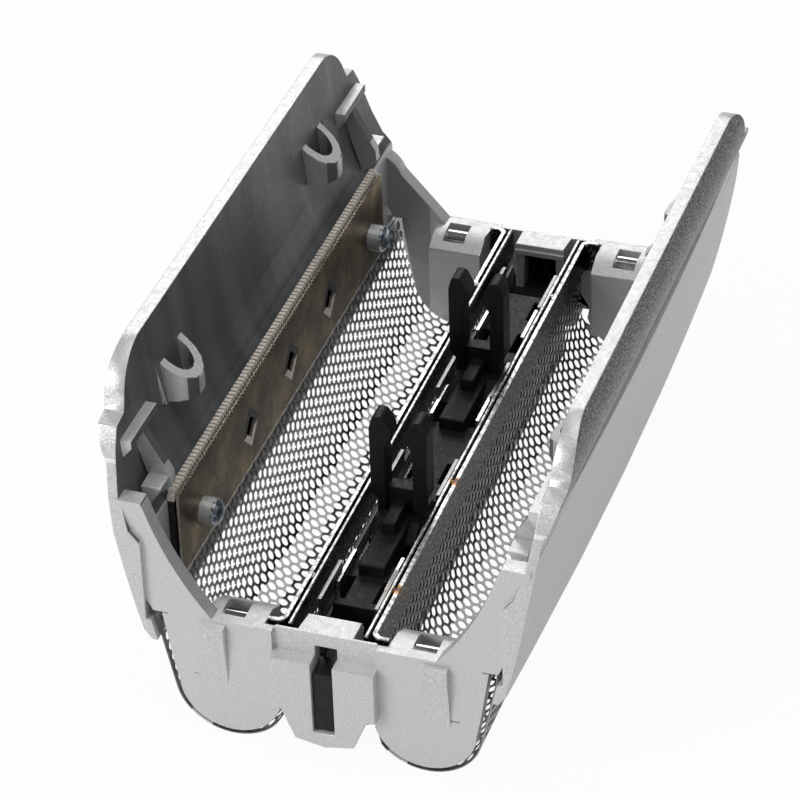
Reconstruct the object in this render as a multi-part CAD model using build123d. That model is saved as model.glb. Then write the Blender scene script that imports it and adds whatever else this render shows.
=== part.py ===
from build123d import *
import math
import os

# Shaver foil head: two foils and a centre trimmer in one moulded frame.
# X runs across the head, Y along it, Z up. It stands foils down on the bench, open side up.
# All lengths are in millimetres.

# Foils
foil_radius = 3.3
foil_spacing = 11.2
foil_sheet = 0.12
foil_end_gap = 0.05
foil_tab = 0.8
arc_rows = 5
slope_rows = 2
hole_columns = 12
hole_web = 0.42
foil_margin = 1.0

# Frame ends
rim_height = 7.85
head_length = 42.0
end_wall_thickness = 1.0
shoulder_front = 7.1
shoulder_rear = 4.5
lobe_half_width = 2.1
lobe_drop = 6.85
plate_width = 1.45
plate_proud = 0.4
centre_overlap = 0.7
centre_proud = 0.65
centre_drop = 6.65
centre_top = 1.3
centre_recess = 0.3
lid_proud = 0.09

# Long walls
wall_height = 21.65
wall_overhang = 0.3
wall_lean = 1.93
wall_top_thickness = 0.8
flap_bottom = 5.95
ledge_rise = 9.0
belly_sag = 0.5
corner_run = 6.4
corner_drop = 2.35

# Edge strips on the long walls
seat_reach = 4.57
strip_sheet = 0.15
clamp_sheet = 0.4
strip_end_room = 2.8
strip_drop = 0.5
strip_rise = 5.0
clamp_rise = 0.25
tooth_pitch = 1.0
tooth_depth = 0.3
window_pitch = 6.75
window_size = 1.5
window_rise = 2.1
pattern_shift = 0.5
peg_radius = 0.8
peg_inset = 2.8
peg_rise = 1.7
peg_proud = 0.85

# Rails over the inner foil edges
rail_sheet = 0.25
rail_rise = 0.25
rail_drop = 1.7
rail_inset = 0.25
rail_foot = 0.8
rail_bend = 0.5
rail_slot_room = 0.2

# Pocket blocks and cross pins
pocket_length = 1.39
pocket_shift = -0.135
pocket_width = 1.7
pocket_depth = 1.7
pocket_setback = 1.42
block_wall_inner = 1.22
block_wall_outer = 0.74
block_run = 2.0
block_drop = 5.2
block_slope_run = 1.1
block_slope_drop = 0.6
pin_radius = 0.58
pin_seat = 0.6
pin_drop = 0.75

# Trimmer
trimmer_gap = 0.3
comb_sheet = 0.2
comb_bottom = 0.35
comb_end_room = 1.4
comb_pitch = 2.1
comb_slot = 0.85
blade_sheet = 0.18
blade_travel = 1.2
blade_pitch = 4.2
carrier_room = 0.6
fork_spacing = 14.4
fork_shift = -0.3
fork_rise = 5.7
prong_root = 0.52
prong_width = 0.9
prong_depth = 1.2
guide_half_width = 0.55
guide_gap = 0.07
guide_overlap = 0.75
guide_reach = 0.45
float_travel = 1.2
centre_block_run = 1.0
centre_block_inset = 0.74
lid_thickness = 0.6
lid_step = 0.3
lid_lip = 0.12
cheek_drop = 3.4
spring_sheet = 0.12
spring_width = 0.65

# Snap bosses and stops inside the long walls
boss_spacing = 23.0
boss_radius = 1.55
boss_wall = 0.55
boss_reach = 1.8
boss_top = 10.6
boss_nose_drop = 1.4
boss_bottom = 8.1
stop_rise = 9.8
stop_length = 3.8
stop_setback = 1.7

# Clearances
fit_gap = 0.05
end_gap = 0.1
pin_gap = 0.02

# Places worked out from the sizes above
end_face = head_length / 2
end_inner = end_face - end_wall_thickness
wall_reach = end_face + wall_overhang
foil_x = foil_spacing / 2
foil_inner = foil_x - foil_radius
foil_length = 2 * (end_inner - foil_end_gap)
seat_x = foil_x + seat_reach
wall_top_inner = seat_x + wall_lean
strip_front = seat_x - clamp_sheet - foil_sheet - strip_sheet
foil_outer = seat_x - clamp_sheet
strip_bottom = rim_height - strip_drop
strip_top = rim_height + strip_rise
strip_length = 2 * (end_inner - strip_end_room)
peg_span = strip_length - 2 * peg_inset
peg_height = rim_height + peg_rise
window_height = rim_height + window_rise
rail_bottom = rim_height - rail_drop
rail_top = rim_height + rail_rise
rail_length = 2 * (end_inner + rail_inset)
ledge_height = rim_height + ledge_rise
centre_half_width = foil_inner + centre_overlap
centre_block_half_width = foil_inner - centre_block_inset
centre_block_face = end_inner - centre_block_run
lid_underside = rim_height - lid_thickness
recess_face = end_face - centre_recess
pin_x = foil_x + pocket_shift
pocket_inner = pin_x - pocket_length / 2
pocket_outer = pin_x + pocket_length / 2
pocket_near = end_inner - pocket_setback
block_inner = pocket_inner - block_wall_inner
block_outer = pocket_outer + block_wall_outer
block_face = end_inner - block_run
pin_length = pocket_length + 2 * pin_seat
pin_y = pocket_near + pocket_width - pin_radius - pin_gap
pin_z = rim_height - pin_drop
trimmer_half_width = foil_inner - rail_sheet - trimmer_gap
comb_length = 2 * (end_inner - comb_end_room)
comb_top = rim_height - 1.3
blade_half_width = trimmer_half_width - comb_sheet - fit_gap
blade_bottom = comb_bottom + comb_sheet + fit_gap
blade_length = comb_length - 2 * (blade_travel + guide_overlap + end_gap)
carrier_half_width = blade_half_width - blade_sheet
carrier_bottom = blade_bottom + blade_sheet
carrier_top = rim_height - 1.5
carrier_length = blade_length - 2 * carrier_room
fork_inner = carrier_half_width - prong_root
guide_top = rim_height - 2.0
guide_shelf = rim_height - 2.85
guide_bottom = rim_height - 5.9
guide_arm = trimmer_half_width - 0.8
guide_end = comb_length / 2


def prism_y(profile, start, stop):
    """Extrude an X-Z profile along Y from start to stop."""
    plane = Plane(origin=(0, stop, 0), x_dir=(1, 0, 0), z_dir=(0, -1, 0))
    return extrude(plane * profile, stop - start)


def prism_x(profile, start, stop):
    """Extrude a Y-Z profile along X from start to stop."""
    plane = Plane(origin=(start, 0, 0), x_dir=(0, 1, 0), z_dir=(1, 0, 0))
    return extrude(plane * profile, stop - start)


def prism_z(profile, start, stop):
    """Extrude an X-Y profile along Z from start to stop."""
    return extrude(Plane.XY.offset(start) * profile, stop - start)


def polygon(points):
    return make_face(Polyline(*points, close=True))


def block(x_range, y_range, z_range):
    """Box between two corners."""
    size = [high - low for low, high in (x_range, y_range, z_range)]
    centre = [(high + low) / 2 for low, high in (x_range, y_range, z_range)]
    return Pos(*centre) * Box(*size)


def opposite(solid):
    """The same solid on the other side of the head."""
    return mirror(solid, Plane.YZ)


def other_end(solid):
    """The same solid at the other end of the head."""
    return mirror(solid, Plane.XZ)


def four_ways(solid):
    """One copy in each corner of the head."""
    pair = [solid, opposite(solid)]
    return pair + [other_end(item) for item in pair]


# Foil: one perforated sheet bent into a trough
def foil_bend():
    """Angle at which the straight outer side leaves the arc, and the arc's length."""
    across = foil_outer - foil_x
    up = strip_bottom - foil_radius
    turn = math.atan2(up, across) - math.acos(foil_radius / math.hypot(across, up))
    return turn, foil_radius * (turn + math.pi)


def foil_place(distance):
    """Point and outward lean of the outer surface at a distance along the bend from the rail."""
    turn, arc_length = foil_bend()
    leg = rail_bottom - foil_radius
    if distance < leg:
        return foil_inner, rail_bottom - distance, math.pi
    if distance < leg + arc_length:
        lean = (distance - leg) / foil_radius - math.pi
        return foil_x + foil_radius * math.cos(lean), foil_radius + foil_radius * math.sin(lean), lean
    rest = distance - leg - arc_length
    x = foil_x + foil_radius * math.cos(turn) - rest * math.sin(turn)
    z = foil_radius + foil_radius * math.sin(turn) + rest * math.cos(turn)
    return x, z, turn


def foil_rows():
    """Distance of each row of holes, two flats of the arc to a row."""
    turn, arc_length = foil_bend()
    leg = rail_bottom - foil_radius
    slope_x, slope_z, lean = foil_place(leg + arc_length)
    slope = math.hypot(foil_outer - slope_x, strip_bottom - slope_z)
    rows = [leg + arc_length * (row + 0.5) / arc_rows for row in range(arc_rows)]
    rows += [leg + arc_length + slope * (row + 0.5) / slope_rows for row in range(slope_rows)]
    return rows


def foil_path():
    """Outside of the foil, from the rail round the arc to the edge strip."""
    arc_length = foil_bend()[1]
    leg = rail_bottom - foil_radius
    points = [(foil_inner, rail_top - 0.4)]
    for step in range(2 * arc_rows + 1):
        points.append(foil_place(leg + arc_length * step / (2 * arc_rows))[:2])
    points += [(foil_outer, strip_bottom), (foil_outer, strip_bottom + foil_tab)]
    return Polyline(*points)


def hole_cutter(distance, along, half_width, half_height):
    """Six-sided punch square to the sheet."""
    x, z, lean = foil_place(distance)
    normal = (math.cos(lean), 0, math.sin(lean))
    plane = Plane(origin=(x, along, z), x_dir=(0, 1, 0), z_dir=normal)
    hexagon = polygon([(0, half_height), (half_width, half_height / 2), (half_width, -half_height / 2),
                       (0, -half_height), (-half_width, -half_height / 2), (-half_width, half_height / 2)])
    return extrude(plane * hexagon, 0.6, both=True)


def foil_sheet_solid():
    section = make_face(offset(foil_path(), amount=foil_sheet, side=Side.LEFT))
    sheet = prism_y(section, -foil_length / 2, foil_length / 2)
    rows = foil_rows()
    pitch = (foil_length - 2 * foil_margin) / hole_columns
    half_height = (foil_bend()[1] / arc_rows - hole_web) / 1.5
    holes = []
    for row, distance in enumerate(rows):
        count = hole_columns - row % 2
        for column in range(count):
            along = (column - (count - 1) / 2) * pitch
            holes.append(hole_cutter(distance, along, (pitch - hole_web) / 2, half_height))
    return sheet - holes


# Edge strips: the outer edge of each foil is pinched between two toothed strips
def strip_outline(top):
    """Clamp strip seen from the side, with teeth along its upper edge."""
    half = strip_length / 2
    count = int(strip_length / tooth_pitch)
    points = [(-half, strip_bottom), (half, strip_bottom), (half, top - tooth_depth)]
    for tooth in range(count):
        start = (count / 2 - tooth) * tooth_pitch
        points.append((start - tooth_pitch / 2, top))
        points.append((start - tooth_pitch, top - tooth_depth))
    points.append((-half, top - tooth_depth))
    return polygon(points)


def round_outline(radius, sides=12):
    """Many-sided outline round a circle."""
    return RegularPolygon(radius, sides, major_radius=False)


def strip_holes():
    """Two peg holes and three diamond windows."""
    cuts = []
    for side in (-1, 1):
        along = pattern_shift + side * peg_span / 2
        cuts.append(Pos(along, peg_height) * round_outline(peg_radius + fit_gap))
    for place in (-1, 0, 1):
        along = pattern_shift + place * window_pitch
        diamond = Rectangle(window_size * 0.72, window_size * 0.72, rotation=45)
        cuts.append(Pos(along, window_height) * diamond)
    return cuts


def punched(outline, start, thickness):
    """Strip of sheet with the peg holes and windows cut out."""
    for cut in strip_holes():
        outline -= cut
    return prism_x(outline, start, start + thickness)


def clamp_strip():
    return punched(strip_outline(strip_top + clamp_rise), foil_outer, clamp_sheet)


def foil_strip():
    half = strip_length / 2
    plain = polygon([(-half, strip_bottom), (half, strip_bottom), (half, strip_top), (-half, strip_top)])
    return punched(plain, strip_front, strip_sheet)


# Rails: two strips welded over the inner edge of each foil
def guide_rail():
    half = rail_length / 2
    return block((foil_inner - rail_sheet, foil_inner), (-half, half), (rail_bottom, rail_top))


def foil_rail():
    """Strip on the foil's side of its inner edge, both ends turned outward round a small bend."""
    half = rail_length / 2
    start = foil_inner + foil_sheet
    reach = start + rail_sheet + rail_foot
    turn = rail_bend * (1 - math.sqrt(0.5))
    corner = ((start, half - rail_bend), (start + turn, half - turn), (start + rail_bend, half))
    outer = Line((start, 0), corner[0]) + ThreePointArc(*corner) + Line(corner[2], (reach, half))
    inner = [(reach, half - rail_sheet), (start + rail_bend, half - rail_sheet),
             (start + rail_sheet, half - rail_bend), (start + rail_sheet, 0), (start, 0)]
    end = make_face(outer + Polyline((reach, half), *inner))
    return prism_z(end + mirror(end, Plane.XZ), rail_bottom, rail_top)


# Moulded frame
def wall_inner_points():
    """Inside line of a long wall, from the flap up past the strip seat to the top."""
    return [
        (foil_outer - 0.22, flap_bottom),
        (foil_outer + 0.08, strip_bottom - fit_gap),
        (seat_x, strip_bottom - fit_gap),
        (seat_x, strip_top - 0.45),
        (seat_x + 0.6, strip_top + 0.25),
        (seat_x + 1.2, rim_height + 7.0),
        (wall_top_inner - 0.45, ledge_height),
        (wall_top_inner, wall_height),
    ]


def wall_inner_x(height):
    """Inside face of a long wall at a height."""
    points = wall_inner_points()
    for (low_x, low_z), (high_x, high_z) in zip(points, points[1:]):
        if low_z <= height <= high_z and high_z > low_z:
            share = (height - low_z) / (high_z - low_z)
            return low_x + share * (high_x - low_x)
    return wall_top_inner


def wall_side_outline():
    """Long wall seen from the side: straight top, rounded corners, a small lug at each end."""
    straight = wall_reach - corner_run
    shoulder = wall_height - corner_drop
    right = Polyline((0, flap_bottom), (wall_reach, flap_bottom), (wall_reach, rim_height + 5.1),
                     (wall_reach - 0.4, rim_height + 7.1), (wall_reach - 1.4, rim_height + 9.7),
                     (wall_reach - 2.0, shoulder - 0.75), (wall_reach - 3.1, shoulder - 0.6),
                     (wall_reach - 3.4, shoulder))
    right += ThreePointArc((wall_reach - 3.4, shoulder), (straight + 1.9, wall_height - 0.75),
                           (straight, wall_height))
    right += Line((straight, wall_height), (0, wall_height))
    half = make_face(right + Line((0, wall_height), (0, flap_bottom)))
    return half + mirror(half, Plane.YZ)


def wall_skin():
    """Long wall on the +X side: a straight upper band over a lower belly curved along its length."""
    inner = wall_inner_points()
    outer_top = wall_top_inner + wall_top_thickness
    band = Line(inner[-1], (outer_top, wall_height))
    band += ThreePointArc((outer_top, wall_height), (outer_top + 0.2, wall_height - 1.6),
                          (outer_top - 0.55, ledge_height))
    band += Polyline((outer_top - 0.55, ledge_height), inner[-2], inner[-1])
    upper = prism_y(make_face(band), -wall_reach, wall_reach)
    belly_x = outer_top - 0.2
    deep = foil_x + 2.4
    outer = ThreePointArc((belly_x, ledge_height), (belly_x - 0.7, ledge_height - 4.95),
                          (belly_x - 1.85, flap_bottom + 0.6))
    outer += Polyline((belly_x - 1.85, flap_bottom + 0.6), (belly_x - 2.3, flap_bottom), (deep, flap_bottom),
                      (deep, ledge_height), (belly_x, ledge_height))
    sweep_radius = wall_reach ** 2 / (2 * belly_sag)
    half_angle = math.degrees(math.asin((wall_reach + 0.3) / (sweep_radius - 3)))
    axis = Axis((belly_x - sweep_radius, 0, 0), (0, 0, 1))
    section = Plane.XZ * make_face(outer)
    belly = revolve(section.rotate(axis, -half_angle), axis, 2 * half_angle)
    inside = polygon([(deep - 1, flap_bottom - 1), (inner[0][0], flap_bottom - 1)] + inner[:-1]
                     + [(inner[-2][0], ledge_height + 1), (deep - 1, ledge_height + 1)])
    belly -= prism_y(inside, -wall_reach - 1, wall_reach + 1)
    skin = upper + belly
    return skin & prism_x(wall_side_outline(), deep, outer_top + 2)


def snap_boss():
    """C-shaped boss on the inside of a long wall, its end face sloping down into the head."""
    top = rim_height + boss_top
    wall_x = wall_inner_x(top)
    nose = wall_x - boss_reach
    centre_x = nose + boss_radius
    along = boss_spacing / 2
    root = wall_x + 0.1
    outer = Pos(centre_x, along) * round_outline(boss_radius, 16)
    outer += Pos((centre_x + root) / 2, along) * Rectangle(root - centre_x, 2 * boss_radius)
    hollow_radius = boss_radius - boss_wall
    inner = Pos(centre_x, along) * round_outline(hollow_radius, 16)
    inner += Pos((centre_x + root) / 2, along) * Rectangle(root - centre_x, 2 * hollow_radius)
    outer &= Pos(centre_x - boss_radius + (root - nose) / 2, along) * Rectangle(root - nose, 9)
    ring = prism_z(outer - inner, rim_height + boss_bottom, top)
    slope = polygon([(nose - 1, top - boss_nose_drop * (1 + 1 / boss_reach)), (root + 0.5, top + 0.5),
                     (nose - 1, top + 0.5)])
    ring -= prism_y(slope, along - 3, along + 3)
    return ring


def wall_stops():
    """Stop block, its gusset and a thin rib beside each boss."""
    high = rim_height + stop_rise
    back = wall_inner_x(high) + 0.1
    stop_end = end_face - stop_setback
    stop_start = stop_end - stop_length
    profile = polygon([(back, high), (back - 0.75, high), (back - 0.75, high - 0.5), (back, high - 1.4)])
    stop = prism_y(profile, stop_start, stop_end)
    foot_top = high - 3.2
    foot_back = wall_inner_x(foot_top - 1.6) + 0.1
    gusset = polygon([(back, high - 0.6), (back - 0.7, high - 0.6), (foot_back - 0.95, foot_top),
                      (foot_back - 1.0, foot_top - 0.7), (foot_back, foot_top - 1.6)])
    stop += prism_y(gusset, stop_start + 1.4, stop_start + 2.0)
    lug = polygon([(foot_back + 0.3, foot_top), (foot_back - 0.9, foot_top), (foot_back, foot_top - 1.6)])
    stop += prism_y(lug, stop_start + 1.9, stop_start + 3.3)
    rib_top = rim_height + boss_top + 1.0
    rib_low = rim_height + boss_bottom + 0.2
    rib = polygon([(wall_inner_x(rib_top) + 0.1, rib_top), (wall_inner_x(rib_low) + 0.1, rib_low),
                   (wall_inner_x(rib_low) - 0.3, rib_low)])
    rib_start = boss_spacing / 2 + boss_radius + 0.35
    stop += prism_y(rib, rib_start, rib_start + 0.25)
    return stop


def end_outline(shoulder, rounded):
    """Half of an end wall seen from outside, from the middle out to the long wall."""
    rim_end = foil_x + 0.8
    buried = wall_inner_x(rim_height + 1.5) + 0.3
    crest_x = seat_x - 0.07
    path = Line((0, rim_height), (rim_end, rim_height))
    if rounded:
        crest = (crest_x + 0.7, rim_height + shoulder)
        bend = (crest_x - 0.9, rim_height + shoulder * 0.7)
        path += Line((rim_end, rim_height), bend)
        path += ThreePointArc(bend, (crest_x - 0.1, rim_height + shoulder * 0.93), crest)
    else:
        crest = (crest_x, rim_height + shoulder)
        bend = (crest_x - 0.2, rim_height + shoulder * 0.93)
        path += ThreePointArc((rim_end, rim_height), (foil_x + 3, rim_height + shoulder * 0.48), bend)
        path += Line(bend, crest)
    out_x = wall_inner_x(rim_height + shoulder) + 0.35
    lobe_low = rim_height - 3.9
    lobe_out = foil_x + lobe_half_width - 0.6
    path += Polyline(crest, (out_x, rim_height + shoulder), (buried, rim_height + 1.5),
                     (foil_outer + 0.1, rim_height - 0.1), (foil_x + 3.4, rim_height - 0.1),
                     (foil_x + 2.4, lobe_low), (lobe_out, lobe_low), (lobe_out, rim_height - 5.3))
    path += ThreePointArc((lobe_out, rim_height - 5.3), (lobe_out - 1.6, rim_height - lobe_drop),
                          (centre_half_width - 0.1, rim_height - 5.1))
    path += Polyline((centre_half_width - 0.1, rim_height - 5.1), (centre_half_width - 0.1, rim_height - 4.7),
                     (0, rim_height - 4.7), (0, rim_height))
    return make_face(path)


def end_wall(shoulder, rounded):
    """End of the frame at the +Y end: wall, lobes, raised plates, blocks, pockets and slots."""
    half = end_outline(shoulder, rounded)
    wall = prism_y(half + mirror(half, Plane.YZ), end_inner, end_face)
    plate_top = rim_height - centre_top
    recess = polygon([(recess_face, plate_top), (end_face + 1, plate_top), (end_face + 1, rim_height + 1),
                      (recess_face - 0.1, rim_height + 1), (recess_face - 0.1, rim_height),
                      (recess_face, rim_height - 0.25)])
    wall -= prism_x(recess, -centre_half_width, centre_half_width)
    centre = polygon([(-centre_half_width, plate_top), (-centre_half_width, rim_height - 4.65),
                      (-2.45, rim_height - 4.75), (-1.7, rim_height - centre_drop),
                      (0, rim_height - centre_drop - 0.33), (1.7, rim_height - centre_drop),
                      (2.45, rim_height - 4.75), (centre_half_width, rim_height - 4.65),
                      (centre_half_width, plate_top)])
    wall += prism_y(centre, recess_face, end_face + centre_proud)
    wall += middle_block()
    for side in (-1, 1):
        wall += end_side(side)
    slot = guide_half_width + guide_gap
    wall -= block((-slot, slot), (centre_block_face - 1, end_face + 2),
                  (guide_bottom - end_gap, guide_top + float_travel + end_gap))
    return wall


def middle_block():
    """Stepped lid over the end guide, and a cheek on each side of it."""
    half = centre_block_half_width
    step_height = rim_height - lid_step
    body = block((-half, half), (centre_block_face, recess_face - 0.1), (lid_underside, rim_height + lid_proud))
    body += block((-half, half), (centre_block_face - lid_lip, end_inner), (lid_underside, step_height))
    crown = centre_half_width - 0.1
    body += block((-crown, crown), (end_inner + 0.1, recess_face - 0.1),
                  (step_height, rim_height + lid_proud))
    for side in (-1, 1):
        inner, outer = sorted((side * (guide_arm + guide_gap), side * half))
        body += block((inner, outer), (centre_block_face, end_inner + 0.1),
                      (rim_height - cheek_drop, lid_underside + 0.1))
    return body


def end_side(side):
    """Raised plate and pocket block of one foil, at the +Y end."""
    plate_x = foil_x + lobe_half_width - 0.6 - plate_width
    raised = polygon([(end_face - 0.2, rim_height - 0.2), (end_face + plate_proud, rim_height - 0.25),
                      (end_face + plate_proud, rim_height - 1.2), (end_face, rim_height - 4.4),
                      (end_face - 0.2, rim_height - 4.4)])
    body = prism_x(raised, plate_x, plate_x + plate_width)
    low = rim_height - block_drop
    pocket_block = polygon([(block_face, low), (end_inner + 0.2, low), (end_inner + 0.2, rim_height),
                            (block_face + block_slope_run, rim_height),
                            (block_face, rim_height - block_slope_drop)])
    body += prism_x(pocket_block, block_inner, block_outer)
    return body if side > 0 else opposite(body)


def end_cuts():
    """Pockets, pin bores and rail slots at the +Y end."""
    cuts = []
    bore_start = pin_x - pin_length / 2
    bore_end = block_outer + 0.1
    bore = prism_x(Pos(pin_y, pin_z) * round_outline(pin_radius + pin_gap), bore_start, bore_end)
    right = [
        block((pocket_inner, pocket_outer), (pocket_near, pocket_near + pocket_width),
              (rim_height - pocket_depth, rim_height + 1)),
        bore,
        block((centre_block_half_width, block_inner), (centre_block_face - 1, rail_length / 2 + rail_slot_room),
              (rail_bottom, rim_height + 1)),
    ]
    for cut in right:
        cuts.append(cut)
        cuts.append(opposite(cut))
    return cuts


def strip_pegs():
    pegs = []
    for side in (-1, 1):
        outline = Pos(pattern_shift + side * peg_span / 2, peg_height) * round_outline(peg_radius)
        pegs.append(prism_x(outline, strip_front - peg_proud, seat_x + 0.3))
    return pegs


def head_frame():
    skin = wall_skin()
    for peg in strip_pegs():
        skin += peg
    boss = snap_boss()
    stops = wall_stops()
    skin += [boss, other_end(boss), stops, other_end(stops)]
    frame = skin + opposite(skin)
    rear = end_wall(shoulder_rear, True)
    front = other_end(end_wall(shoulder_front, False))
    frame += [rear, front]
    cuts = end_cuts()
    frame -= cuts + [other_end(cut) for cut in cuts]
    return frame


# Trimmer comb and blade: slotted channels of bent sheet
def channel(half_width, bottom, top, sheet):
    corner = 0.45
    outer = [(-half_width, top), (-half_width, bottom + corner), (-half_width + corner, bottom),
             (half_width - corner, bottom), (half_width, bottom + corner), (half_width, top)]
    return make_face(offset(Polyline(*outer), amount=sheet, side=Side.LEFT))


def slotted_channel(half_width, bottom, top, sheet, length, pitch, slot):
    """Channel with cross slots over its closed side."""
    body = prism_y(channel(half_width, bottom, top, sheet), -length / 2, length / 2)
    count = int((length - 1.2 * pitch) / pitch)
    depth = bottom + 1.5
    cuts = []
    for index in range(count):
        along = (index - (count - 1) / 2) * pitch
        cuts.append(block((-half_width - 1, half_width + 1), (along - slot / 2, along + slot / 2),
                          (bottom - 1, depth)))
    return body - cuts


def side_tabs(half_width, sheet, bottom, top, places, length):
    """Tabs that stand up from both sides of a channel."""
    tabs = []
    for along in places:
        for side in (-1, 1):
            start = half_width - sheet if side > 0 else -half_width
            tabs.append(block((start, start + sheet), (along - length / 2, along + length / 2),
                              (bottom, top)))
    return tabs


def trimmer_comb():
    body = slotted_channel(trimmer_half_width, comb_bottom, comb_top, comb_sheet, comb_length,
                           comb_pitch, comb_slot)
    places = [share * comb_length for share in (-0.41, -0.12, 0.15, 0.41)]
    return body + side_tabs(trimmer_half_width, comb_sheet, comb_top - 0.5, comb_top + 0.85, places, 3.6)


def trimmer_blade():
    top = comb_top - 0.7
    body = slotted_channel(blade_half_width, blade_bottom, top, blade_sheet, blade_length,
                           blade_pitch, comb_slot)
    places = [share * blade_length for share in (-0.4, 0.1, 0.37)]
    return body + side_tabs(blade_half_width, blade_sheet, top - 0.5, top + 1.1, places, 3.0)


# Black plastic carrier with its two drive forks
def drive_prong():
    """One prong of a fork, its barb pointing at the other prong."""
    outer = fork_inner + prong_width
    barb = fork_inner / 2
    low = carrier_top - 0.4
    tip = rim_height + fork_rise
    outline = polygon([(carrier_half_width, low), (carrier_half_width, rim_height), (outer, rim_height + 0.5),
                       (outer, tip - 0.95), (outer - 0.35, tip), (outer - 0.7, tip), (barb, tip - 1.0),
                       (barb, tip - 1.35), (fork_inner, tip - 2.1), (fork_inner, low)])
    return prism_y(outline, -prong_depth / 2, prong_depth / 2)


def drive_fork():
    prong = drive_prong()
    web = block((-fork_inner - 0.1, fork_inner + 0.1), (-0.3, 0.55), (carrier_top - 0.4, carrier_top + 2.3))
    root = polygon([(-2.3, carrier_top - 0.3), (2.3, carrier_top - 0.3), (1.1, carrier_top + 0.7),
                    (-1.1, carrier_top + 0.7)])
    foot = prism_x(root, -carrier_half_width, carrier_half_width)
    return prong + opposite(prong) + web + foot


def blade_carrier():
    half = carrier_length / 2
    side = carrier_half_width
    section = polygon([(-side, carrier_top), (-side, carrier_bottom + 0.5), (0.5 - side, carrier_bottom),
                       (side - 0.5, carrier_bottom), (side, carrier_bottom + 0.5), (side, carrier_top)])
    body = prism_y(section, -half, half)
    notches = []
    for share in (-0.45, -0.34, -0.09, 0.09, 0.34, 0.45):
        place = share * carrier_length
        for side in (-1, 1):
            edge = side * (carrier_half_width - 0.25)
            notches.append(block((edge - 0.25, edge + 0.25), (place - 1.0, place + 1.0),
                                 (carrier_top - 1.6, carrier_top + 1)))
    body -= notches
    fork = drive_fork()
    for side in (-1, 1):
        body += Pos(0, fork_shift + side * fork_spacing / 2, 0) * fork
    return body


# End guides carry the comb in the frame's slots, with a leaf spring above each
def end_guide():
    half = trimmer_half_width - comb_sheet - fit_gap
    tongue_end = end_face + guide_reach
    tongue_start = end_inner - 0.15
    tongue = (-guide_half_width, guide_half_width)
    body = block((-half, half), (guide_end - guide_overlap, guide_end + 0.1),
                 (comb_bottom + comb_sheet + 0.6, guide_shelf))
    body += block((-guide_arm, guide_arm), (guide_end, tongue_start), (guide_shelf - 1.0, guide_shelf))
    body += block(tongue, (guide_end, tongue_end), (guide_bottom, guide_shelf))
    body += block(tongue, (tongue_start, tongue_end), (guide_shelf, guide_top))
    return body


def float_spring():
    half = spring_sheet / 2
    low = guide_shelf + half
    high = lid_underside - half
    places = [(-0.96, low), (-0.76, low), (-0.12, high), (0.12, high), (0.76, low), (0.96, low)]
    path = Polyline(*[(share * guide_arm, height) for share, height in places])
    start = centre_block_face + end_gap
    return prism_y(trace(path, spring_sheet), start, start + spring_width)


def cross_pin():
    outline = Pos(pin_y, pin_z) * round_outline(pin_radius)
    return prism_x(outline, pin_x - pin_length / 2, pin_x + pin_length / 2)


def all_nodes():
    nodes = {"head_frame": head_frame()}
    foil = foil_sheet_solid()
    pieces = {
        "foil": foil,
        "foil_strip": foil_strip(),
        "clamp_strip": clamp_strip(),
        "guide_rail": guide_rail(),
        "foil_rail": foil_rail(),
    }
    for name, solid in pieces.items():
        nodes[name + "_right"] = solid
        nodes[name + "_left"] = opposite(solid)
    corners = ["rear_right", "rear_left", "front_right", "front_left"]
    for corner, pin in zip(corners, four_ways(cross_pin())):
        nodes["cross_pin_" + corner] = pin
    nodes["trimmer_comb"] = trimmer_comb()
    nodes["trimmer_blade"] = trimmer_blade()
    nodes["blade_carrier"] = blade_carrier()
    guide = end_guide()
    spring = float_spring()
    nodes["end_guide_rear"] = guide
    nodes["end_guide_front"] = other_end(guide)
    nodes["float_spring_rear"] = spring
    nodes["float_spring_front"] = other_end(spring)
    return nodes


os.makedirs("parts", exist_ok=True)
for node_name, node_solid in all_nodes().items():
    export_step(node_solid, "parts/" + node_name + ".step")
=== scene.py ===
import bpy
import bmesh
import math
from mathutils import Matrix, Vector
from mathutils.bvhtree import BVHTree


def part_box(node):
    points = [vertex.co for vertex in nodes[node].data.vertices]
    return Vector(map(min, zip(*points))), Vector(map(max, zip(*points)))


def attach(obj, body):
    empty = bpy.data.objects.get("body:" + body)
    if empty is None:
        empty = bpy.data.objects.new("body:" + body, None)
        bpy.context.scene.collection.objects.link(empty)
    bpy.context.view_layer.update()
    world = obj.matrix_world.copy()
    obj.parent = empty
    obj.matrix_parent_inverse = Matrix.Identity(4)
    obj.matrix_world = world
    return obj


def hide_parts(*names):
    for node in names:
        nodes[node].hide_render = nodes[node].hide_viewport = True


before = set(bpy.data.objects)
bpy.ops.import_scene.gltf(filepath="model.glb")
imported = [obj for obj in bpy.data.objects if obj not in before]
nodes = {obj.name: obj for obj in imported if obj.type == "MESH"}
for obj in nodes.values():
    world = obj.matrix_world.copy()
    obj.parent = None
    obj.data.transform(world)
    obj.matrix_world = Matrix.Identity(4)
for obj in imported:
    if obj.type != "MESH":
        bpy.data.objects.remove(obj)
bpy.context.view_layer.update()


# Viewpoint: above the front right corner of the head, looking down at about 35 degrees, with a long lens.
# All sizes below are in metres; mm turns a maker's millimetres into them, and rim is the height of the frame's rim.
def placed(name, data):
    item = bpy.data.objects.new(name, data)
    bpy.context.scene.collection.objects.link(item)
    return item


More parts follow.
